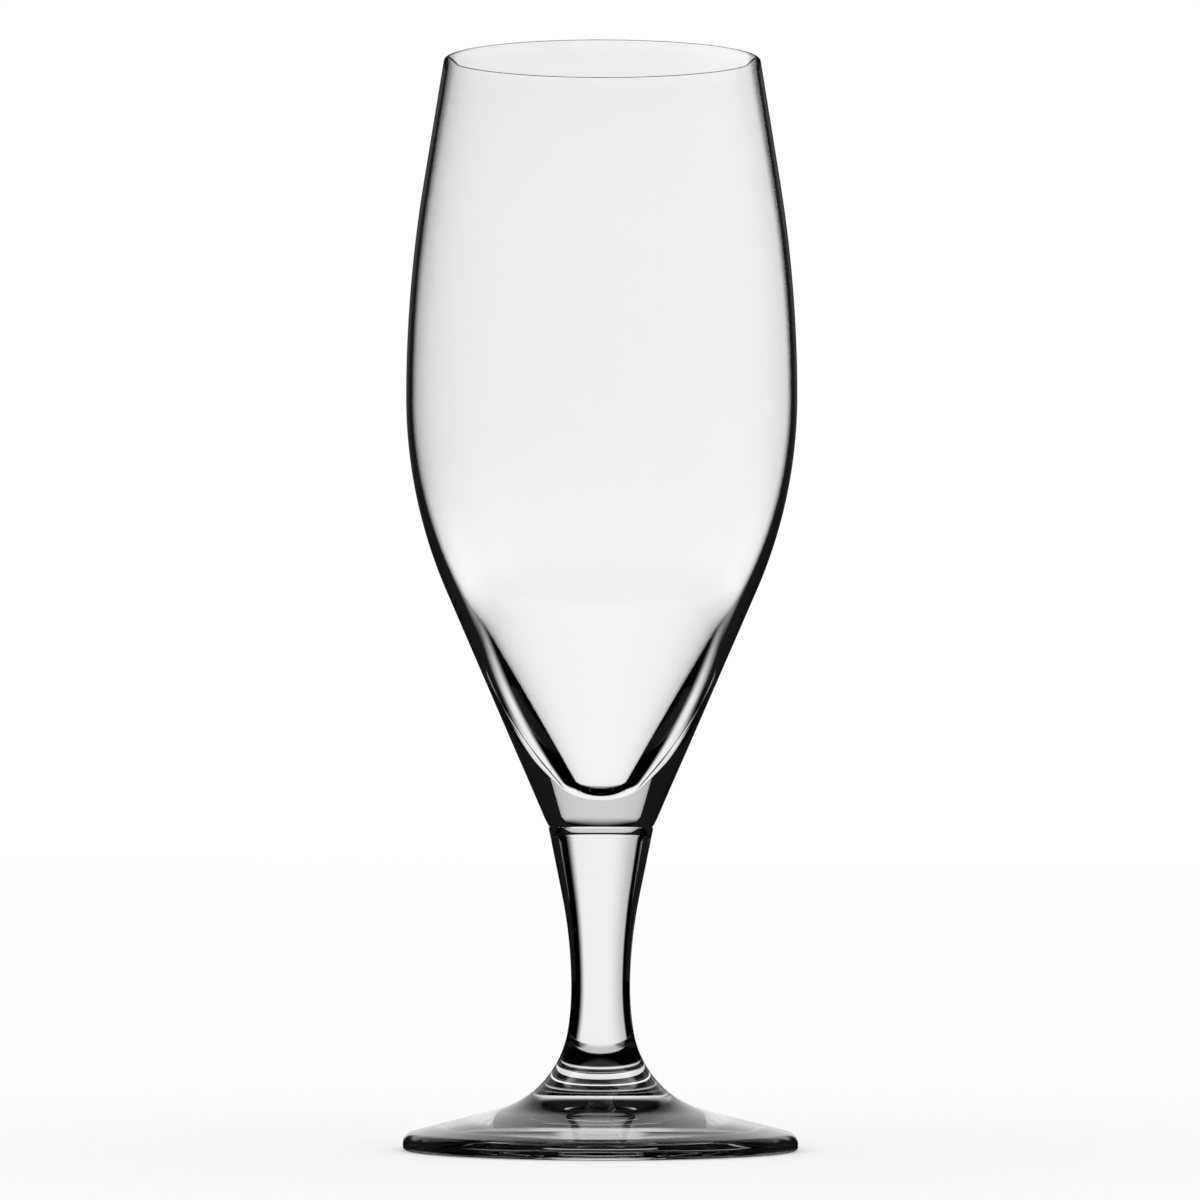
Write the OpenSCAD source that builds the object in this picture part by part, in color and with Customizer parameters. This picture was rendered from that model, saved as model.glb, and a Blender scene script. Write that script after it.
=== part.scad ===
// Tulip beer glass made of three glass pieces on one axis: bowl, stem and foot.
// The pieces are welded end to end, so each meets the next on a flat round face.
// Millimetres, Z up. The glass stands on z = 0 and every outline turns about Z.

/* [Whole glass] */
// Height of the rim above the table
glass_h = 205; // [196:1:220]
// Height of the joint between bowl and stem
bowl_joint_h = 60.4; // [56:0.2:64]
// Height of the joint between stem and foot
foot_joint_h = 22.4; // [20:0.2:25]
// Piece to show

/* [Bowl] */
// Outer diameter of the widest ring
belly_d = 73.6; // [70:0.2:78]
// Height of the widest ring, as a share of the height of the bowl
belly_share = 0.56; // [0.5:0.01:0.62]
// How far the outline above the widest ring curves before it runs straight, as a share
shoulder_curve_share = 0.856; // [0.7:0.004:0.94]
// How far the outline below the widest ring curves before it runs straight, as a share
belly_curve_share = 0.685; // [0.6:0.005:0.78]
// Radius of the outline just above the joint with the stem
base_curve_r = 14; // [10:0.5:20]
// Angle by which that curve turns in towards the joint
base_turn_a = 8; // [5:0.5:12]
// Outer diameter at the rim
rim_d = 59.8; // [56:0.2:63]
// Wall at the rim
rim_t = 1; // [0.8:0.1:1.4]
// Wall at the widest ring
wall_t = 1.1; // [0.9:0.1:1.5]
// Radius of the inside below the widest ring, as a share of the outside, so that the wall thickens downwards
cup_curve_share = 0.875; // [0.84:0.005:0.92]
// Solid glass between the joint and the floor of the cup
floor_t = 6.8; // [5.6:0.2:8]
// Radius of the rounded floor of the cup
floor_r = 6.4; // [5:0.1:8]

/* [Stem] */
// Diameter of the welded faces of bowl and stem
bowl_joint_d = 19.1; // [17:0.1:21]
// Radius that breaks the two edges at that joint
seam_r = 0.3; // [0.2:0.05:0.5]
// Diameter of the waist
waist_d = 11.1; // [9.5:0.1:13]
// Height of the waist, as a share of the height of the joint with the bowl
waist_share = 0.5; // [0.46:0.01:0.56]
// How far the outline above the waist curves before it runs straight, as a share
stem_curve_share = 0.75; // [0.6:0.01:0.9]
// Radius of the outline below the waist
ankle_curve_r = 51; // [44:1:60]

/* [Foot] */
// Diameter of the foot
foot_d = 74; // [70:0.5:80]
// Radius of the flare into the top of the foot, as a share of the height of its joint with the stem
flare_share = 0.83; // [0.74:0.01:0.9]
// Height of the upright part of the edge
edge_h = 1.2; // [0.9:0.1:1.6]
// Radius of the upper corner of the edge
edge_r = 2.1; // [1.6:0.1:2.6]
// Radius of the lower corner of the edge
heel_r = 0.6; // [0.3:0.1:0.8]
// Diameter of the hollow underneath
hollow_d = 60; // [54:1:66]
// Depth of the hollow at its middle
hollow_h = 4.5; // [3.5:0.1:5.5]

/* [Hidden] */
// Steps in each curve of an outline and steps round the axis
curve_steps = 20;
$fn = 180;

belly_rad = belly_d / 2;
bowl_joint_rad = bowl_joint_d / 2;
waist_rad = waist_d / 2;
foot_rad = foot_d / 2;
hollow_rad = hollow_d / 2;
rim_rad = rim_d / 2;
lip_r = rim_t / 2;
belly_h = bowl_joint_h + belly_share * (glass_h - bowl_joint_h);
waist_h = waist_share * bowl_joint_h;

// Radii of the curves that start upright at the widest ring and at the waist
shoulder_curve_r = shoulder_curve_share * upright_curve(belly_rad - rim_rad, glass_h - belly_h);
belly_curve_r = belly_curve_share * upright_curve(belly_rad - bowl_joint_rad, belly_h - bowl_joint_h);
stem_curve_r = stem_curve_share * upright_curve(bowl_joint_rad - waist_rad, bowl_joint_h - waist_h);
cup_curve_r = cup_curve_share * belly_curve_r;
flare_r = flare_share * foot_joint_h;

// Centres of the curves of the bowl
shoulder_centre = [belly_rad - shoulder_curve_r, belly_h];
belly_centre = [belly_rad - belly_curve_r, belly_h];
cup_centre = [belly_rad - wall_t - cup_curve_r, belly_h];
lip_centre = [rim_rad - lip_r, glass_h - lip_r];
bowl_seam_centre = [bowl_joint_rad, bowl_joint_h + seam_r];
floor_centre = [0, bowl_joint_h + floor_t + floor_r];

// Slope of the bowl at the joint with the stem, and centre of the curve that turns in to it
base_a = touching(belly_centre, bowl_seam_centre, belly_curve_r - seam_r, 1) - base_turn_a;
base_centre = bowl_seam_centre - (base_curve_r - seam_r) * [cos(base_a), sin(base_a)];

// Centres of the curves of the stem
stem_seam_centre = [bowl_joint_rad, bowl_joint_h - seam_r];
stem_centre = [waist_rad + stem_curve_r, waist_h];
ankle_centre = [waist_rad + ankle_curve_r, waist_h];

// Slope and radius of the outline at the joint between stem and foot
ankle_a = asin((waist_h - foot_joint_h) / ankle_curve_r);
foot_joint_rad = ankle_centre.x - ankle_curve_r * cos(ankle_a);

// Centres of the curves of the foot
flare_centre = [foot_joint_rad + flare_r * cos(ankle_a), foot_joint_h + flare_r * sin(ankle_a)];
edge_centre = [foot_rad - edge_r, edge_h];
heel_centre = [foot_rad - heel_r, heel_r];
hollow_curve_r = (hollow_rad * hollow_rad + hollow_h * hollow_h) / (2 * hollow_h);
hollow_centre = [0, hollow_h - hollow_curve_r];

// Angles square to the straight stretches, each of which touches a curve at both ends
shoulder_a = touching(shoulder_centre, lip_centre, shoulder_curve_r - lip_r, -1);
inner_shoulder_a = touching(shoulder_centre, lip_centre, shoulder_curve_r - wall_t + lip_r, -1);
taper_a = touching(belly_centre, base_centre, belly_curve_r - base_curve_r, 1);
inner_taper_a = touching(cup_centre, floor_centre, cup_curve_r - floor_r, 1);
stem_a = touching(stem_seam_centre, stem_centre, stem_curve_r + seam_r, 1);
foot_top_a = touching(edge_centre, flare_centre, flare_r + edge_r, -1);

// Radius of a curve that starts upright and moves sideways by a step over a rise
function upright_curve(step, rise) = (step * step + rise * rise) / (2 * step);

// Angle of the direction in which the centres lie a given reach apart
function touching(from, to, reach, turn) =
    atan2(to.y - from.y, to.x - from.x) + turn * acos(reach / norm(to - from));

// Points along a curve from one angle to another
function curve(centre, radius, start, end) = [
    for (i = [0:curve_steps])
        let (a = start + (end - start) * i / curve_steps)
            centre + radius * [cos(a), sin(a)]
];

// The cup, from the welded face up the outside, over the lip and down the inside
module bowl() {
    color([0.86, 0.91, 0.92, 0.4])
        rotate_extrude()
            polygon(concat(
                [[0, bowl_joint_h]],
                curve(bowl_seam_centre, seam_r, -90, base_a),
                curve(base_centre, base_curve_r, base_a, taper_a),
                curve(belly_centre, belly_curve_r, taper_a, 0),
                curve(shoulder_centre, shoulder_curve_r, 0, shoulder_a),
                curve(lip_centre, lip_r, shoulder_a, 180 + inner_shoulder_a),
                curve(shoulder_centre, shoulder_curve_r - wall_t, inner_shoulder_a, 0),
                curve(cup_centre, cup_curve_r, 0, inner_taper_a),
                curve(floor_centre, floor_r, inner_taper_a, -90)
            ));
}

// The solid stem between its two welded faces
module stem() {
    color([0.8, 0.87, 0.89, 0.4])
        rotate_extrude()
            polygon(concat(
                [[0, foot_joint_h]],
                curve(ankle_centre, ankle_curve_r, 180 + ankle_a, 180),
                curve(stem_centre, stem_curve_r, 180, 180 + stem_a),
                curve(stem_seam_centre, seam_r, stem_a, 90),
                [[0, bowl_joint_h]]
            ));
}

// The foot, from its hollow out to the heel, over the edge and up the flare
module foot() {
    color([0.83, 0.89, 0.9, 0.4])
        rotate_extrude()
            polygon(concat(
                curve(hollow_centre, hollow_curve_r, 90, asin(-hollow_centre.y / hollow_curve_r)),
                curve(heel_centre, heel_r, -90, 0),
                curve(edge_centre, edge_r, 0, foot_top_a),
                curve(flare_centre, flare_r, 180 + foot_top_a, 180 + ankle_a),
                [[0, foot_joint_h]]
            ));
}

bowl();
stem();
foot();
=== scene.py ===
"""Look of a stemmed tulip beer glass: bowl, stem and foot of clear glass on a white table."""

import logging
import math
from dataclasses import dataclass, field
from enum import Enum
from functools import reduce

import bmesh
import bpy
from mathutils import Matrix, Vector


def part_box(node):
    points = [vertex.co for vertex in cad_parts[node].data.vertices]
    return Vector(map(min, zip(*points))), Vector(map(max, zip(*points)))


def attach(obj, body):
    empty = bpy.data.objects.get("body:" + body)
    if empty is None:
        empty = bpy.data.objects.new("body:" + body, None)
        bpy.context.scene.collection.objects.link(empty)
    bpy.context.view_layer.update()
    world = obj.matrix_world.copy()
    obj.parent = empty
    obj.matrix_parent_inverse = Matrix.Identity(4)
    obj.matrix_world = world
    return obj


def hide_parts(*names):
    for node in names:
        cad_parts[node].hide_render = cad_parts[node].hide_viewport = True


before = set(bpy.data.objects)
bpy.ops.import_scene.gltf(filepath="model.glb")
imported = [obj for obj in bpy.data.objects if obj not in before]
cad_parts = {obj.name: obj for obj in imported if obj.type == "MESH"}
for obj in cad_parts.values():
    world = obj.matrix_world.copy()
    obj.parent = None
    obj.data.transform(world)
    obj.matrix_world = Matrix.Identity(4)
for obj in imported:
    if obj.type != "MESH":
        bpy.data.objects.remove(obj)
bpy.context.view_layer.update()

LOG = logging.getLogger("tulip_glass")
BODY = "root"
MM = 0.001
DEG = math.pi / 180
QUARTER_TURN = math.pi / 2
# Brightness of what the glass shows as black
DUSK = 0.009
# How often light may bend, mirror or pass on its way
BOUNCES = 32

Socket = bpy.types.NodeSocket


class Turn(Enum):
    """Which way a straight stretch leaves the curve that it touches."""

    LEFT = 1
    RIGHT = -1


class Zone(Enum):
    """Material index of the two kinds of face on a welded piece."""

    SURFACE = 0
    WELD = 1


def touching(start: Vector, end: Vector, reach: float, turn: Turn) -> float:
    """Find the angle square to a straight stretch that touches two curves.

    Args:
        start: Centre of the first curve, as radius and height.
        end: Centre of the second curve.
        reach: Distance between the centres, measured square to the stretch.
        turn: Side of the line between the centres on which the stretch lies.

    Returns:
        The angle in radians, from the radius axis towards up.
    """
    across = end - start
    return math.atan2(across.y, across.x) + turn.value * math.acos(reach / across.length)


def upright_curve(step: float, rise: float) -> float:
    """Find the radius of a curve that starts upright.

    Args:
        step: How far it moves sideways.
        rise: Height over which it does so.

    Returns:
        The radius.
    """
    return (step**2 + rise**2) / (2 * step)


def point_on(centre: Vector, radius: float, angle: float) -> Vector:
    """Find a point on a curve.

    Args:
        centre: Centre of the curve, as radius and height.
        radius: Radius of the curve.
        angle: Angle of the point.

    Returns:
        The point, as radius and height.
    """
    return centre + radius * Vector((math.cos(angle), math.sin(angle)))


def placed(name: str, mesh: bmesh.types.BMesh) -> bpy.types.Object:
    """Turn an edit mesh into an object of the scene.

    Args:
        name: Name of the object.
        mesh: The edit mesh, which is used up.

    Returns:
        The new object, at the origin.
    """
    data = bpy.data.meshes.new(name)
    mesh.to_mesh(data)
    mesh.free()
    made = bpy.data.objects.new(name, data)
    bpy.context.scene.collection.objects.link(made)
    return made


class Outline:
    """Half section of a turned piece, drawn step by step in the XZ plane and then spun."""

    SPIN_STEPS = 192
    DOUBLES = 1e-7

    def __init__(self, start: Vector) -> None:
        """Put the first point of the outline in a new mesh.

        Args:
            start: The point, as radius and height.
        """
        self.mesh = bmesh.new()
        self.tip = self.mesh.verts.new((start.x, 0.0, start.y))

    def line(self, end: Vector, steps: int) -> None:
        """Go straight to a point.

        Args:
            end: The point, as radius and height.
            steps: Equal parts of the stretch.
        """
        stride = (Vector((end.x, 0.0, end.y)) - self.tip.co) / steps
        for _ in range(steps):
            self.tip = bmesh.ops.extrude_vert_indiv(self.mesh, verts=[self.tip])["verts"][0]
            bmesh.ops.translate(self.mesh, verts=[self.tip], vec=stride)

    def arc(self, centre: Vector, start: float, end: float, steps: int) -> None:
        """Turn the last point about a centre.

        Args:
            centre: Centre of the curve, as radius and height.
            start: Angle at which the curve begins.
            end: Angle at which it ends.
            steps: Equal parts of the curve.
        """
        made = bmesh.ops.spin(
            self.mesh,
            geom=[self.tip],
            cent=(centre.x, 0.0, centre.y),
            axis=(0.0, -1.0, 0.0),
            angle=end - start,
            steps=steps,
        )
        self.tip = next(item for item in made["geom_last"] if isinstance(item, bmesh.types.BMVert))

    def spun(self, name: str) -> bpy.types.Object:
        """Spin the outline into a piece and close its open ends with welded faces.

        Args:
            name: Name of the piece.

        Returns:
            The new object, at the origin.
        """
        bmesh.ops.spin(
            self.mesh,
            geom=self.mesh.verts[:] + self.mesh.edges[:],
            cent=(0.0, 0.0, 0.0),
            axis=(0.0, 0.0, 1.0),
            angle=math.tau,
            steps=self.SPIN_STEPS,
            use_merge=True,
        )
        bmesh.ops.remove_doubles(self.mesh, verts=self.mesh.verts[:], dist=self.DOUBLES)
        for face in self.mesh.faces:
            face.smooth = True
            face.material_index = Zone.SURFACE.value
        rims = [edge for edge in self.mesh.edges if edge.is_boundary]
        for edge in rims:
            edge.smooth = False
        bmesh.ops.edgeloop_fill(self.mesh, edges=rims, mat_nr=Zone.WELD.value, use_smooth=False)
        bmesh.ops.recalc_face_normals(self.mesh, faces=self.mesh.faces[:])
        self.settle()
        return placed(name, self.mesh)

    def settle(self) -> None:
        """Number points, edges and faces by their place, so that every run gives one order."""
        for number, vert in enumerate(sorted(self.mesh.verts, key=lambda vert: vert.co[:])):
            vert.index = number
        self.mesh.verts.sort()
        for items in (self.mesh.edges, self.mesh.faces):
            ordered = sorted(items, key=lambda item: sorted(vert.index for vert in item.verts))
            for number, item in enumerate(ordered):
                item.index = number
            items.sort()


@dataclass(frozen=True)
class Ramp:
    """A smooth change from one value to another between two places, heights or bearings."""

    start: float
    end: float
    low: float = 0.0
    high: float = 1.0


class Graph:
    """Node tree of one material or of the world, with short calls for its nodes."""

    def __init__(self, tree: bpy.types.NodeTree) -> None:
        """Start with an empty tree.

        Args:
            tree: The tree to fill.
        """
        self.tree = tree
        tree.nodes.clear()

    def node(self, kind: str, **values: object) -> bpy.types.Node:
        """Add a node and set or link its inputs.

        Args:
            kind: Type of the node.
            values: Inputs by name, with underscores for spaces; a socket is linked, anything
                else is set.

        Returns:
            The new node.
        """
        made = self.tree.nodes.new(kind)
        for name, value in values.items():
            self.feed(made.inputs[name.replace("_", " ")], value)
        return made

    def feed(self, socket: Socket, value: object) -> None:
        """Link a socket to an input or set its value.

        Args:
            socket: The input.
            value: A socket to link, or a plain value.
        """
        if isinstance(value, Socket):
            self.tree.links.new(value, socket)
        else:
            socket.default_value = value

    def math(self, operation: str, first: object, second: object = 0.0) -> Socket:
        """Add a sum of two values.

        Args:
            operation: Name of the sum.
            first: First value or socket.
            second: Second value or socket, where the sum has one.

        Returns:
            The result.
        """
        made = self.tree.nodes.new("ShaderNodeMath")
        made.operation = operation
        self.feed(made.inputs[0], first)
        self.feed(made.inputs[1], second)
        return made.outputs[0]

    def times(self, *values: object) -> Socket:
        """Multiply some values."""
        return reduce(lambda first, second: self.math("MULTIPLY", first, second), values)

    def largest(self, *values: object) -> Socket:
        """Take the largest of some values."""
        return reduce(lambda first, second: self.math("MAXIMUM", first, second), values)

    def less(self, first: object, second: object) -> Socket:
        """Take the second value from the first."""
        return self.math("SUBTRACT", first, second)

    def unsigned(self, value: Socket) -> Socket:
        """Drop the sign of a value."""
        return self.math("ABSOLUTE", value)

    def over(self, value: Socket, limit: float) -> Socket:
        """Say with 0 or 1 whether a value is over a limit."""
        return self.math("GREATER_THAN", value, limit)

    def mix(self, factor: Socket, first: object, second: object) -> Socket:
        """Go from the first value to the second as a factor goes from 0 to 1."""
        return self.node("ShaderNodeMix", Factor=factor, A=first, B=second).outputs[0]

    def ease(self, value: Socket, ramp: Ramp) -> Socket:
        """Change smoothly along a ramp.

        Args:
            value: What decides.
            ramp: Where the change is and what it goes from and to.

        Returns:
            The result.
        """
        made = self.node(
            "ShaderNodeMapRange",
            Value=value,
            From_Min=ramp.start,
            From_Max=ramp.end,
            To_Min=ramp.low,
            To_Max=ramp.high,
        )
        made.interpolation_type = "SMOOTHSTEP"
        return made.outputs["Result"]

    def place(self) -> Socket:
        """Read the place on the object."""
        return self.node("ShaderNodeTexCoord").outputs["Object"]

    def glow(self, strength: Socket) -> bpy.types.Node:
        """Add a white light."""
        return self.node("ShaderNodeEmission", Strength=strength)

    def blend(
        self, factor: Socket, first: bpy.types.Node, second: bpy.types.Node
    ) -> bpy.types.Node:
        """Blend two shaders.

        Args:
            factor: Share of the second shader.
            first: First shader node.
            second: Second shader node.

        Returns:
            The blended shader.
        """
        made = self.node("ShaderNodeMixShader", Fac=factor)
        for socket, shader in zip(made.inputs[1:], (first, second)):
            self.feed(socket, shader.outputs[0])
        return made

    def surface(self, shader: bpy.types.Node, kind: str = "ShaderNodeOutputMaterial") -> None:
        """Use a shader as the surface.

        Args:
            shader: The last shader node.
            kind: Type of the output node.
        """
        self.node(kind, Surface=shader.outputs[0])


def new_material(name: str) -> tuple[bpy.types.Material, Graph]:
    """Make a material with an empty tree.

    Args:
        name: Name of the material.

    Returns:
        The material and its graph.
    """
    made = bpy.data.materials.new(name)
    made.use_nodes = True
    return made, Graph(made.node_tree)


@dataclass(frozen=True)
class ClearGlass:
    """Colourless glass, fire polished, with the faint waves of a blown wall."""

    name: str = "clear_glass_surface"
    ior: float = 1.52
    tint: tuple[float, float, float, float] = (0.995, 0.997, 0.996, 1.0)
    wave_scale: float = 60.0
    wave_detail: float = 1.0
    wave_height: float = 0.006 * MM
    wipe_scale: float = 160.0
    wipe_detail: float = 3.0
    polish: Ramp = Ramp(0.45, 0.75, 0.0, 0.01)

    def material(self) -> bpy.types.Material:
        """Make the glass with wavy normals and slightly uneven polish.

        Returns:
            The new material.
        """
        made, graph = new_material(self.name)
        spot = graph.place()
        wipe = graph.node(
            "ShaderNodeTexNoise", Vector=spot, Scale=self.wipe_scale, Detail=self.wipe_detail
        )
        wave = graph.node(
            "ShaderNodeTexNoise", Vector=spot, Scale=self.wave_scale, Detail=self.wave_detail
        )
        bump = graph.node(
            "ShaderNodeBump", Height=wave.outputs[0], Distance=self.wave_height, Strength=1.0
        )
        glass = graph.node(
            "ShaderNodeBsdfPrincipled",
            Base_Color=self.tint,
            Roughness=graph.ease(wipe.outputs[0], self.polish),
            IOR=self.ior,
            Transmission_Weight=1.0,
            Normal=bump.outputs[0],
        )
        graph.surface(glass)
        return made


@dataclass(frozen=True)
class WeldedFace:
    """Face inside a hot weld, where the glass runs on without a break."""

    name: str = "weld_face"

    def material(self) -> bpy.types.Material:
        """Make the face let everything through.

        Returns:
            The new material.
        """
        made, graph = new_material(self.name)
        graph.surface(graph.node("ShaderNodeBsdfTransparent"))
        return made


@dataclass(frozen=True)
class Seam:
    """The joint of bowl and stem: a flat round face with a rounded edge on either side."""

    rad: float = 9.55 * MM
    edge: float = 0.3 * MM
    steps: int = 10


@dataclass
class GlassPiece:
    """A turned piece of the glass and the part node that it stands for."""

    node: str
    surface: bpy.types.Material
    weld: bpy.types.Material
    low: float = field(init=False)
    high: float = field(init=False)
    rad: float = field(init=False)

    def __post_init__(self) -> None:
        """Read the heights and the largest radius of the node."""
        lowest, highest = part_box(self.node)
        self.low = lowest[2]
        self.high = highest[2]
        self.rad = highest[0]

    def dress(self, outline: Outline) -> bpy.types.Object:
        """Spin an outline, give it the glass and put it in the node's place.

        Args:
            outline: The finished half section.

        Returns:
            The finished piece.
        """
        piece = outline.spun(self.node + "_glass")
        piece.data.materials.append(self.surface)
        piece.data.materials.append(self.weld)
        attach(piece, BODY)
        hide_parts(self.node)
        return piece


@dataclass
class Bowl(GlassPiece):
    """The blown cup with its rounded lip and a wall that thickens down to the floor."""

    seam: Seam = Seam()
    belly_share: float = 0.56
    shoulder_curve_share: float = 0.856
    belly_curve_share: float = 0.685
    cup_curve_share: float = 0.875
    base_curve: float = 14.0 * MM
    base_turn: float = 8 * DEG
    rim_rad: float = 29.9 * MM
    rim_wall: float = 1.0 * MM
    wall: float = 1.1 * MM
    floor_wall: float = 6.8 * MM
    floor_curve: float = 6.4 * MM
    base_steps: int = 12
    taper_steps: int = 16
    bend_steps: int = 24
    neck_steps: int = 10
    lip_steps: int = 20
    cup_steps: int = 30
    inner_taper_steps: int = 12

    def build(self) -> bpy.types.Object:
        """Draw the section from the weld up the outside, over the lip and down the inside.

        Returns:
            The finished bowl.
        """
        belly_height = self.low + self.belly_share * (self.high - self.low)
        shoulder_curve = self.shoulder_curve_share * upright_curve(
            self.rad - self.rim_rad, self.high - belly_height
        )
        belly_curve = self.belly_curve_share * upright_curve(
            self.rad - self.seam.rad, belly_height - self.low
        )
        cup_curve = self.cup_curve_share * belly_curve
        inner_shoulder_curve = shoulder_curve - self.wall
        lip = self.rim_wall / 2

        shoulder = Vector((self.rad - shoulder_curve, belly_height))
        belly = Vector((self.rad - belly_curve, belly_height))
        cup = Vector((self.rad - self.wall - cup_curve, belly_height))
        rim = Vector((self.rim_rad - lip, self.high - lip))
        seam = Vector((self.seam.rad, self.low + self.seam.edge))
        floor = Vector((0.0, self.low + self.floor_wall + self.floor_curve))

        base_lean = touching(belly, seam, belly_curve - self.seam.edge, Turn.LEFT) - self.base_turn
        base = point_on(seam, self.seam.edge - self.base_curve, base_lean)
        taper = touching(belly, base, belly_curve - self.base_curve, Turn.LEFT)
        lean = touching(shoulder, rim, shoulder_curve - lip, Turn.RIGHT)
        inner_lean = touching(shoulder, rim, inner_shoulder_curve + lip, Turn.RIGHT)
        inner_taper = touching(cup, floor, cup_curve - self.floor_curve, Turn.LEFT)

        outline = Outline(Vector((self.seam.rad, self.low)))
        outline.arc(seam, -QUARTER_TURN, base_lean, self.seam.steps)
        outline.arc(base, base_lean, taper, self.base_steps)
        outline.line(point_on(belly, belly_curve, taper), self.taper_steps)
        outline.arc(belly, taper, 0.0, self.bend_steps)
        outline.arc(shoulder, 0.0, lean, self.bend_steps)
        outline.line(point_on(rim, lip, lean), self.neck_steps)
        outline.arc(rim, lean, math.pi + inner_lean, self.lip_steps)
        outline.line(point_on(shoulder, inner_shoulder_curve, inner_lean), self.neck_steps)
        outline.arc(shoulder, inner_lean, 0.0, self.bend_steps)
        outline.arc(cup, 0.0, inner_taper, self.cup_steps)
        outline.line(point_on(floor, self.floor_curve, inner_taper), self.inner_taper_steps)
        outline.arc(floor, inner_taper, -QUARTER_TURN, self.bend_steps)
        return self.dress(outline)


@dataclass
class Stem(GlassPiece):
    """The solid stem with its waist."""

    seam: Seam = Seam()
    waist_rad: float = 5.55 * MM
    waist_share: float = 0.5
    curve_share: float = 0.75
    ankle_curve: float = 51.0 * MM
    ankle_steps: int = 16
    bend_steps: int = 24
    taper_steps: int = 12

    @property
    def waist_height(self) -> float:
        """Height of the thinnest place."""
        return self.waist_share * self.high

    @property
    def ankle_angle(self) -> float:
        """Lean of the outline at the joint with the foot."""
        return math.asin((self.waist_height - self.low) / self.ankle_curve)

    @property
    def ankle_rad(self) -> float:
        """Radius of the joint with the foot."""
        return self.waist_rad + self.ankle_curve * (1 - math.cos(self.ankle_angle))

    def build(self) -> bpy.types.Object:
        """Draw the section from the foot joint up to the bowl joint.

        Returns:
            The finished stem.
        """
        curve = self.curve_share * upright_curve(
            self.seam.rad - self.waist_rad, self.high - self.waist_height
        )
        above = Vector((self.waist_rad + curve, self.waist_height))
        below = Vector((self.waist_rad + self.ankle_curve, self.waist_height))
        seam = Vector((self.seam.rad, self.high - self.seam.edge))
        lean = touching(seam, above, curve + self.seam.edge, Turn.LEFT)

        outline = Outline(Vector((self.ankle_rad, self.low)))
        outline.arc(below, math.pi + self.ankle_angle, math.pi, self.ankle_steps)
        outline.arc(above, math.pi, math.pi + lean, self.bend_steps)
        outline.line(point_on(seam, self.seam.edge, lean), self.taper_steps)
        outline.arc(seam, lean, QUARTER_TURN, self.seam.steps)
        return self.dress(outline)


@dataclass
class Foot(GlassPiece):
    """The round foot with its flared hub, sloping top and hollow underside."""

    stem: Stem
    flare_share: float = 0.83
    edge_height: float = 1.2 * MM
    edge: float = 2.1 * MM
    heel: float = 0.6 * MM
    hollow_rad: float = 30.0 * MM
    hollow_depth: float = 4.5 * MM
    hollow_steps: int = 24
    ring_steps: int = 8
    heel_steps: int = 12
    side_steps: int = 4
    edge_steps: int = 16
    slope_steps: int = 16
    flare_steps: int = 32

    def build(self) -> bpy.types.Object:
        """Draw the section from the hollow out to the heel and up to the stem.

        Returns:
            The finished foot.
        """
        flare_curve = self.flare_share * self.high
        hollow_curve = upright_curve(self.hollow_depth, self.hollow_rad)
        ankle = Vector((self.stem.ankle_rad, self.high))
        flare = point_on(ankle, flare_curve, self.stem.ankle_angle)
        edge = Vector((self.rad - self.edge, self.edge_height))
        heel = Vector((self.rad - self.heel, self.heel))
        hollow = Vector((0.0, self.hollow_depth - hollow_curve))
        hollow_end = math.asin(-hollow.y / hollow_curve)
        top = touching(edge, flare, flare_curve + self.edge, Turn.RIGHT)

        outline = Outline(Vector((0.0, self.hollow_depth)))
        outline.arc(hollow, QUARTER_TURN, hollow_end, self.hollow_steps)
        outline.line(Vector((heel.x, 0.0)), self.ring_steps)
        outline.arc(heel, -QUARTER_TURN, 0.0, self.heel_steps)
        outline.line(Vector((self.rad, self.edge_height)), self.side_steps)
        outline.arc(edge, 0.0, top, self.edge_steps)
        outline.line(point_on(flare, flare_curve, math.pi + top), self.slope_steps)
        outline.arc(flare, math.pi + top, math.pi + self.stem.ankle_angle, self.flare_steps)
        return self.dress(outline)


@dataclass(frozen=True)
class Sight:
    """What a ray has been through when it meets the stage, as sockets that are 0 or 1."""

    # Limits just under one, two and three times
    ONCE = 0.5
    TWICE = 1.5
    THREE_TIMES = 2.5

    camera: Socket
    lit: Socket
    bare: Socket
    mirrored: Socket
    twice: Socket
    inside: Socket
    walls: Socket
    cloth: Socket
    cup: Socket

    @classmethod
    def read(cls, graph: Graph) -> "Sight":
        """Read the state of the ray.

        Args:
            graph: Graph to work in.

        Returns:
            Whether the ray comes straight from the camera, from the table, or from either; was
            mirrored by glass once or more often; was inside glass; came through both walls of
            the cup; came through the painted shade sheet round it; and came through the cup at all,
            by both walls or by one and the shade sheet.
        """
        path = graph.node("ShaderNodeLightPath").outputs
        camera = path["Is Camera Ray"]
        lit = graph.over(path["Diffuse Depth"], cls.ONCE)
        walls = graph.over(path["Transmission Depth"], cls.THREE_TIMES)
        sheets = path["Transparent Depth"]
        cloth = graph.less(graph.over(sheets, cls.ONCE), graph.over(sheets, cls.TWICE))
        return cls(
            camera=camera,
            lit=lit,
            bare=graph.largest(camera, lit),
            mirrored=graph.over(path["Glossy Depth"], cls.ONCE),
            twice=graph.over(path["Glossy Depth"], cls.TWICE),
            inside=graph.over(path["Transmission Depth"], cls.ONCE),
            walls=walls,
            cloth=cloth,
            cup=graph.largest(walls, cloth),
        )


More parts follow.
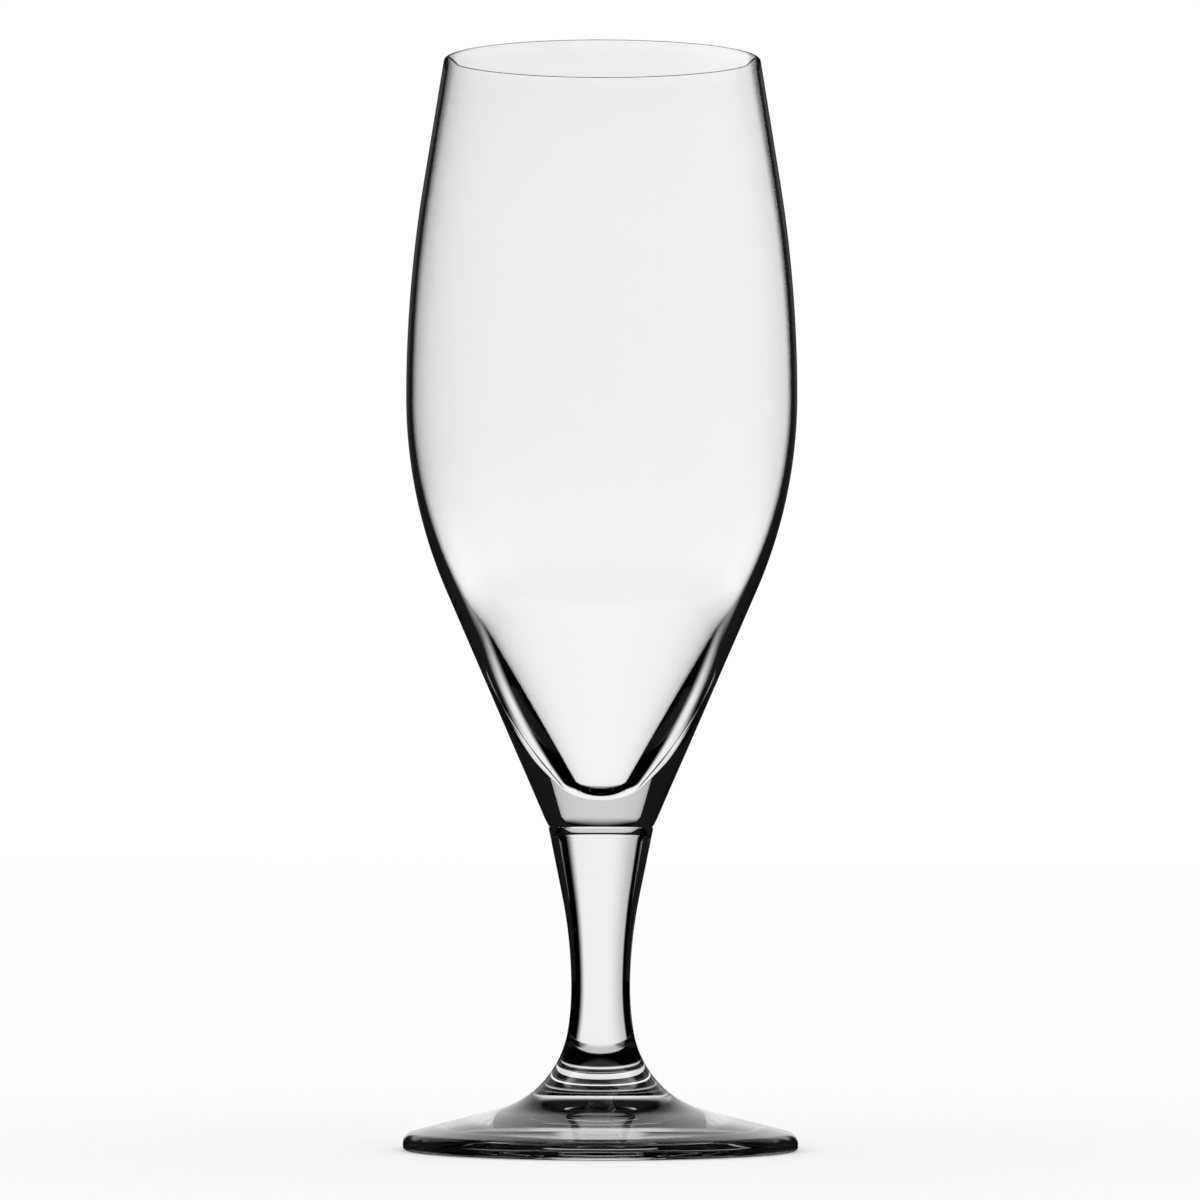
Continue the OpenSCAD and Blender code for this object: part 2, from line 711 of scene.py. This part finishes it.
@dataclass(frozen=True)
class Spot:
    """Place on a stage object, in metres, and its direction from the axis of the glass.

    The bearing counts in radians from straight behind towards the right; aside has no sign.
    """

    across: Socket
    along: Socket
    up: Socket
    bearing: Socket
    aside: Socket

    @classmethod
    def read(cls, graph: Graph) -> "Spot":
        """Read the place.

        Args:
            graph: Graph to work in.

        Returns:
            The place and its direction.
        """
        apart = graph.node("ShaderNodeSeparateXYZ", Vector=graph.place()).outputs
        bearing = graph.math("ARCTAN2", apart["X"], apart["Y"])
        return cls(apart["X"], apart["Y"], apart["Z"], bearing, graph.unsigned(bearing))


@dataclass(frozen=True)
class Backdrop:
    """How the brightness behind the glass falls off to its sides, on table and panel alike."""

    even: Ramp = Ramp(22 * DEG, 34 * DEG, 1.0, 0.0)
    left: Ramp = Ramp(-38 * DEG, -33.5 * DEG)
    slope: Ramp = Ramp(-34 * DEG, -8 * DEG, 0.62, 1.0)
    bright: float = 0.94

    def wedge(self, graph: Graph, spot: Spot) -> Socket:
        """Give the brightness that is the same on either side."""
        return graph.ease(spot.aside, self.even)

    def strip(self, graph: Graph, spot: Spot) -> Socket:
        """Give the brightness that is less towards the left."""
        ramps = (self.even, self.left, self.slope)
        return graph.times(*(graph.ease(spot.bearing, ramp) for ramp in ramps))


def lamp(name: str, mesh: bmesh.types.BMesh, material: bpy.types.Material) -> bpy.types.Object:
    """Put up a stage object that only the glass sees.

    Args:
        name: Name of the object.
        mesh: Its shape.
        material: Its material.

    Returns:
        The new object.
    """
    made = placed(name, mesh)
    made.data.materials.append(material)
    made.visible_camera = False
    made.visible_diffuse = False
    made.visible_shadow = False
    material.cycles.emission_sampling = "NONE"
    return made


def upright_sheet(half_width: float, height: float, distance: float) -> bmesh.types.BMesh:
    """Make an upright rectangle behind the glass.

    Args:
        half_width: Half of its width.
        height: Its height from the table.
        distance: How far behind the axis it stands.

    Returns:
        The edit mesh.
    """
    mesh = bmesh.new()
    bmesh.ops.create_grid(mesh, x_segments=1, y_segments=1, size=1.0)
    size = Matrix.Diagonal((half_width, height / 2, 1.0, 1.0))
    stand = Matrix.Rotation(QUARTER_TURN, 4, "X")
    place = Matrix.Translation((0.0, distance, height / 2))
    bmesh.ops.transform(mesh, matrix=place @ stand @ size, verts=mesh.verts[:])
    return mesh


@dataclass(frozen=True)
class Table:
    """The white table, even to the eye; to the glass it glows with painted lanes of light and
    painted shade on its flanks and under the foot.
    """

    backdrop: Backdrop
    rad: float = 8.0
    drop: float = 0.1 * MM
    segments: int = 96
    white: float = 0.9
    facing_blend: float = 0.5

    # Painted light seen through stem and foot: bright at the left, where a narrow painted lane of
    # light runs on, and in front
    left: Ramp = Ramp(-80 * DEG, -65 * DEG, 0.98, 0.0)
    lane_bearing: float = -90 * DEG
    lane_edge: Ramp = Ramp(10 * DEG, 17 * DEG, 1.0, 0.0)
    lane_flank: Ramp = Ramp(50 * DEG, 80 * DEG)
    lane_reach: Ramp = Ramp(40.0 * MM, 150.0 * MM)
    front: Ramp = Ramp(105 * DEG, 120 * DEG, 0.0, 0.98)

    # Seen through the cup: a bright painted glow, with painted shade behind for a steep look
    cup_glow: float = 1.08
    steep: Ramp = Ramp(0.42, 0.6, 1.0, 0.0)
    steep_reach: Ramp = Ramp(130.0 * MM, 180.0 * MM)

    # Painted shadow close to the axis, under the foot, with painted light where the look does not
    # graze and a painted bright streak along the middle
    under_foot_shade_edge: Ramp = Ramp(34.0 * MM, 44.0 * MM)
    graze: Ramp = Ramp(0.86, 0.94, 0.72, 0.0)
    painted_light_streak: Ramp = Ramp(6.0 * MM, 10.0 * MM, 0.72, 0.0)

    # Painted reflections, mirrored in the glass once, or more often
    once: Ramp = Ramp(17.0 * MM, 21.0 * MM)
    often: Ramp = Ramp(120.0 * MM, 160.0 * MM, 0.0, 0.15)

    # Painted reflections mirrored in the glass and seen through the painted shade sheet: two lanes
    # that close in, then one
    pair_turn: float = 43 * DEG
    pair_middle: float = 0.27
    pair_far: float = 0.4
    pair_edge: Ramp = Ramp(7 * DEG, 13 * DEG)
    pair_end: Ramp = Ramp(0.4, 0.52, 1.0, 0.0)
    single_edge: Ramp = Ramp(2 * DEG, 5 * DEG, 1.0, 0.0)
    single_start: Ramp = Ramp(0.44, 0.6)

    def build(self) -> bpy.types.Object:
        """Lay the table.

        Returns:
            The table.
        """
        mesh = bmesh.new()
        bmesh.ops.create_circle(mesh, cap_ends=True, segments=self.segments, radius=self.rad)
        bmesh.ops.translate(mesh, verts=mesh.verts[:], vec=(0.0, 0.0, -self.drop))
        table = placed("studio_floor", mesh)
        table.data.materials.append(self.material())
        return table

    def material(self) -> bpy.types.Material:
        """Make the table matt to the eye and glowing with painted light and shade to the glass.

        Returns:
            The new material.
        """
        made, graph = new_material("white_floor_with_painted_light")
        sight = Sight.read(graph)
        spot = Spot.read(graph)
        lanes = graph.times(self.mirrored(graph, sight, spot), sight.inside)
        seen = graph.mix(sight.mirrored, self.straight(graph, sight, spot), lanes)
        matt = graph.node("ShaderNodeBsdfDiffuse", Color=(self.white,) * 3 + (1.0,))
        # Camera rays and rays lit from the table see the matt white; rays through or off the glass
        # see the painted light and shade
        graph.surface(graph.blend(sight.bare, graph.glow(seen), matt))
        made.cycles.emission_sampling = "NONE"
        return made

    def mirrored(self, graph: Graph, sight: Sight, spot: Spot) -> Socket:
        """Say what painted reflection a ray sees that was mirrored in the glass.

        Args:
            graph: Graph to work in.
            sight: What the ray has been through.
            spot: Where it meets the table.

        Returns:
            The brightness.
        """
        wedge = self.backdrop.wedge(graph, spot)
        once = graph.ease(spot.along, self.once)
        often = graph.ease(spot.along, self.often)
        lane = graph.times(wedge, graph.mix(sight.twice, once, often))
        past = graph.less(graph.math("MINIMUM", spot.along, self.pair_far), self.pair_middle)
        apart = graph.math("ADD", spot.aside, graph.times(past, self.pair_turn))
        pair = graph.times(
            graph.ease(apart, self.pair_edge), wedge, graph.ease(spot.along, self.pair_end)
        )
        single = graph.times(
            graph.ease(spot.aside, self.single_edge), graph.ease(spot.along, self.single_start)
        )
        return graph.mix(sight.cloth, lane, graph.largest(pair, single))

    def straight(self, graph: Graph, sight: Sight, spot: Spot) -> Socket:
        """Say what painted light and shade a ray sees that was only bent on its way through the
        glass.

        Args:
            graph: Graph to work in.
            sight: What the ray has been through.
            spot: Where it meets the table.

        Returns:
            The brightness.
        """
        squares = (graph.times(side, side) for side in (spot.across, spot.along))
        away = graph.math("SQRT", graph.math("ADD", *squares))
        flat = graph.node("ShaderNodeLayerWeight", Blend=self.facing_blend).outputs["Facing"]
        wedge = self.backdrop.wedge(graph, spot)
        # Painted shade behind the cup where the look is steep
        dark = graph.times(
            wedge,
            sight.walls,
            graph.ease(flat, self.steep),
            graph.ease(spot.along, self.steep_reach),
        )
        cup = graph.times(graph.less(1.0, dark), self.cup_glow)
        far = graph.mix(sight.cup, self.flanks(graph, spot, away), cup)
        # Painted shadow under the foot, broken by painted light and a painted bright streak
        thick = graph.times(graph.ease(flat, self.graze), graph.less(1.0, sight.walls))
        painted_light_streak = graph.ease(graph.unsigned(spot.across), self.painted_light_streak)
        return graph.mix(graph.ease(away, self.under_foot_shade_edge), graph.largest(thick, painted_light_streak), far)

    def flanks(self, graph: Graph, spot: Spot, away: Socket) -> Socket:
        """Say how bright the painted light on the table looks through stem and foot.

        Args:
            graph: Graph to work in.
            spot: Where a ray meets the table.
            away: Its distance from the axis.

        Returns:
            The brightness.
        """
        aslant = graph.unsigned(graph.less(spot.bearing, self.lane_bearing))
        lane = graph.largest(
            graph.ease(aslant, self.lane_edge), graph.ease(aslant, self.lane_flank)
        )
        left = graph.times(
            graph.ease(spot.bearing, self.left),
            graph.mix(graph.ease(away, self.lane_reach), 1.0, lane),
        )
        front = graph.ease(spot.bearing, self.front)
        strip = graph.times(self.backdrop.strip(graph, spot), self.backdrop.bright)
        # Painted light: the bright strip behind, the lane at the left and the glow in front
        return graph.largest(strip, left, front)


@dataclass(frozen=True)
class LightPanel:
    """The light panel that stands behind the glass."""

    backdrop: Backdrop
    distance: float = 1.0
    half_width: float = 1.1
    height: float = 1.4
    widen: Ramp = Ramp(0.45, 0.6)
    cup_foot: Ramp = Ramp(0.0, 0.25, 1.05, 1.0)
    dim: Ramp = Ramp(0.27, 0.5, 1.0, 0.75)
    sag: float = 0.8
    fade: Ramp = Ramp(0.62, 0.82, 1.0, 0.0)

    # Mirrored inside the glass, without or with the painted shade sheet in the way
    inner: Ramp = Ramp(-0.05, 0.3, 1.0, 0.015)
    shade_sheet_spread: float = 40 * DEG
    shade_sheet_edge: Ramp = Ramp(5 * DEG, 9 * DEG, 1.0, 0.0)

    # Mirrored on the outside of the glass
    outer: Ramp = Ramp(10 * DEG, 16 * DEG, 1.0, 0.0)
    outer_widen: Ramp = Ramp(0.2, 0.35)
    outer_dim: Ramp = Ramp(0.45, 0.7, 1.0, 0.45)

    def build(self) -> bpy.types.Object:
        """Stand the panel up.

        Returns:
            The panel.
        """
        made, graph = new_material("panel_glow")
        sight = Sight.read(graph)
        spot = Spot.read(graph)
        strip = self.backdrop.strip(graph, spot)
        wide = graph.largest(strip, graph.ease(spot.up, self.widen))
        foot = graph.mix(sight.walls, self.backdrop.bright, graph.ease(spot.up, self.cup_foot))
        dim = graph.ease(spot.up, self.dim)
        sag = graph.times(spot.across, spot.across, self.sag)
        fade = graph.ease(graph.less(spot.up, sag), self.fade)
        mirror = graph.mix(sight.mirrored, 1.0, self.mirrored(graph, sight, spot))
        graph.surface(graph.glow(graph.times(wide, foot, dim, fade, mirror)))
        return lamp("light_panel", upright_sheet(self.half_width, self.height, self.distance), made)

    def mirrored(self, graph: Graph, sight: Sight, spot: Spot) -> Socket:
        """Say how much of the panel a mirrored ray sees.

        Args:
            graph: Graph to work in.
            sight: What the ray has been through.
            spot: Where it meets the panel.

        Returns:
            The share.
        """
        spread = graph.less(spot.aside, graph.times(spot.up, self.shade_sheet_spread))
        inner = graph.mix(
            sight.cloth, graph.ease(spot.up, self.inner), graph.ease(spread, self.shade_sheet_edge)
        )
        outer = graph.largest(
            graph.ease(spot.aside, self.outer), graph.ease(spot.up, self.outer_widen)
        )
        outer = graph.times(outer, graph.ease(spot.up, self.outer_dim))
        return graph.mix(sight.inside, outer, inner)


@dataclass(frozen=True)
class SidePanel:
    """A second panel to the left of the glass, for those who look from the right."""

    distance: float = 1.0
    half_width: float = 0.3
    height: float = 0.7
    edge: Ramp = Ramp(0.18, 0.3, 1.0, 0.0)
    fade: Ramp = Ramp(0.35, 0.7, 1.0, 0.0)

    def build(self) -> bpy.types.Object:
        """Stand the panel up.

        Returns:
            The panel.
        """
        made, graph = new_material("side_glow")
        spot = Spot.read(graph)
        wide = graph.ease(graph.unsigned(spot.along), self.edge)
        straight = graph.less(1.0, Sight.read(graph).mirrored)
        graph.surface(graph.glow(graph.times(wide, straight, graph.ease(spot.up, self.fade))))
        mesh = upright_sheet(self.half_width, self.height, self.distance)
        aside = Matrix.Rotation(QUARTER_TURN, 3, "Z")
        bmesh.ops.rotate(mesh, verts=mesh.verts[:], cent=(0.0, 0.0, 0.0), matrix=aside)
        return lamp("side_panel", mesh, made)


@dataclass(frozen=True)
class ShadeAndReflectionSheet:
    """Sheet round the cup that only mirrored light meets: painted shade behind, and a painted
    reflection of white sides at the sides.
    """

    rad: float = 62.0 * MM
    low: float = 59.0 * MM
    high: float = 320.0 * MM
    segments: int = 96
    cover: Ramp = Ramp(59.0 * MM, 71.0 * MM)
    hem: Ramp = Ramp(8 * DEG, 24 * DEG, 30.0 * MM, 0.0)
    leak: Ramp = Ramp(95.0 * MM, 125.0 * MM, 0.0, 0.1)
    # White sides of the sheet: a painted reflection on the outside of the glass
    wing: Ramp = Ramp(66 * DEG, 76 * DEG)
    wing_hem: Ramp = Ramp(74.0 * MM, 90.0 * MM)
    wing_front: Ramp = Ramp(92 * DEG, 150 * DEG, 1.0, 0.35)
    wing_lower: Ramp = Ramp(82 * DEG, 112 * DEG, 3.3, 1.8)
    wing_upper: Ramp = Ramp(-62.0 * MM, 62.0 * MM, 0.7, 1.8)
    wing_rise: Ramp = Ramp(90.0 * MM, 130.0 * MM)

    def build(self) -> bpy.types.Object:
        """Hang the sheet of painted shade and painted reflection.

        Returns:
            The sheet.
        """
        made, graph = new_material("painted_shade_and_reflection")
        sight = Sight.read(graph)
        spot = Spot.read(graph)
        # Painted reflection of white sides for looks mirrored on the outside of the glass;
        # elsewhere dusk, a painted shade
        white = graph.glow(graph.largest(self.painted_side_reflection(graph, sight, spot), DUSK))
        clear = graph.node("ShaderNodeBsdfTransparent")
        above = graph.less(spot.up, graph.ease(spot.aside, self.hem))
        leak = graph.times(sight.inside, graph.ease(spot.up, self.leak))
        # Only mirrored light meets the painted shade and reflection; all other light passes through
        cover = graph.times(
            sight.mirrored, graph.ease(above, self.cover), graph.less(1.0, leak)
        )
        graph.surface(graph.blend(cover, clear, white))
        mesh = bmesh.new()
        bmesh.ops.create_cone(
            mesh,
            cap_ends=False,
            segments=self.segments,
            radius1=self.rad,
            radius2=self.rad,
            depth=self.high - self.low,
        )
        middle = (self.high + self.low) / 2
        bmesh.ops.translate(mesh, verts=mesh.verts[:], vec=(0.0, 0.0, middle))
        return lamp("shade_and_reflection_sheet", mesh, made)

    def painted_side_reflection(self, graph: Graph, sight: Sight, spot: Spot) -> Socket:
        """Say how bright the painted reflection of white sides is to a ray mirrored on the outside
        of the glass.

        Args:
            graph: Graph to work in.
            sight: What the ray has been through.
            spot: Where it meets the sheet.

        Returns:
            The brightness.
        """
        side = graph.mix(
            graph.ease(spot.up, self.wing_rise),
            graph.ease(spot.aside, self.wing_lower),
            graph.ease(spot.across, self.wing_upper),
        )
        return graph.times(
            graph.ease(spot.aside, self.wing),
            graph.ease(spot.up, self.wing_hem),
            graph.ease(spot.aside, self.wing_front),
            side,
            graph.less(1.0, sight.inside),
        )


@dataclass(frozen=True)
class Air:
    """The room: white to the camera, an even light to the table and dark to the glass."""

    name: str = "studio_air"
    fill: float = 1.1
    white: tuple[float, float, float, float] = (1.0, 1.0, 1.0, 1.0)

    def build(self) -> bpy.types.World:
        """Fill the room with light.

        Returns:
            The world.
        """
        world = bpy.data.worlds.new(self.name)
        bpy.context.scene.world = world
        world.use_nodes = True
        world.cycles.sampling_method = "NONE"
        graph = Graph(world.node_tree)
        sight = Sight.read(graph)
        bright = graph.largest(sight.camera, graph.times(sight.lit, self.fill), DUSK)
        shade = graph.node("ShaderNodeBackground", Color=self.white, Strength=bright)
        graph.surface(shade, "ShaderNodeOutputWorld")
        return world


@dataclass(frozen=True)
class PhotoCamera:
    """Camera at the photograph's viewing angle, level with the weld and looking slightly up."""

    name: str = "photo_camera"
    distance: float = 1.146
    height: float = 0.0613
    tilt: float = 2.084 * DEG
    pan: float = 0.013 * DEG
    roll: float = 0.1 * DEG
    focal_px: float = 6101.0
    frame_px: float = 1200.0
    sensor: float = 36.0
    nearest: float = 0.01
    farthest: float = 100.0

    def build(self) -> bpy.types.Object:
        """Set the camera up.

        Returns:
            The camera.
        """
        data = bpy.data.cameras.new(self.name)
        data.sensor_width = self.sensor
        data.lens = self.sensor * self.focal_px / self.frame_px
        data.clip_start = self.nearest
        data.clip_end = self.farthest
        camera = bpy.data.objects.new(self.name, data)
        camera.location = (0.0, -self.distance, self.height)
        turn = Matrix.Rotation(self.pan, 3, "Z") @ Matrix.Rotation(QUARTER_TURN + self.tilt, 3, "X")
        camera.rotation_euler = (turn @ Matrix.Rotation(self.roll, 3, "Z")).to_euler()
        bpy.context.scene.collection.objects.link(camera)
        bpy.context.scene.camera = camera
        return camera


def deepen_paths() -> None:
    """Let light pass through the glass as often as its thick foot needs."""
    cycles = bpy.context.scene.cycles
    cycles.max_bounces = BOUNCES
    cycles.transmission_bounces = BOUNCES
    cycles.glossy_bounces = BOUNCES
    cycles.transparent_max_bounces = BOUNCES


def main() -> None:
    """Build the glass and the studio in order."""
    logging.basicConfig(level=logging.INFO, format="%(message)s")
    PhotoCamera().build()
    surface = ClearGlass().material()
    weld = WeldedFace().material()
    stem = Stem("stem", surface, weld)
    for piece in (Bowl("bowl", surface, weld), stem, Foot("foot", surface, weld, stem)):
        made = piece.build()
        LOG.info("%s: %d faces", made.name, len(made.data.polygons))
    backdrop = Backdrop()
    for prop in (Table(backdrop), LightPanel(backdrop), SidePanel(), ShadeAndReflectionSheet(), Air()):
        LOG.info("%s: in place", prop.build().name)
    deepen_paths()
    bpy.context.scene.view_settings.view_transform = "Standard"


if __name__ == "__main__":
    main()
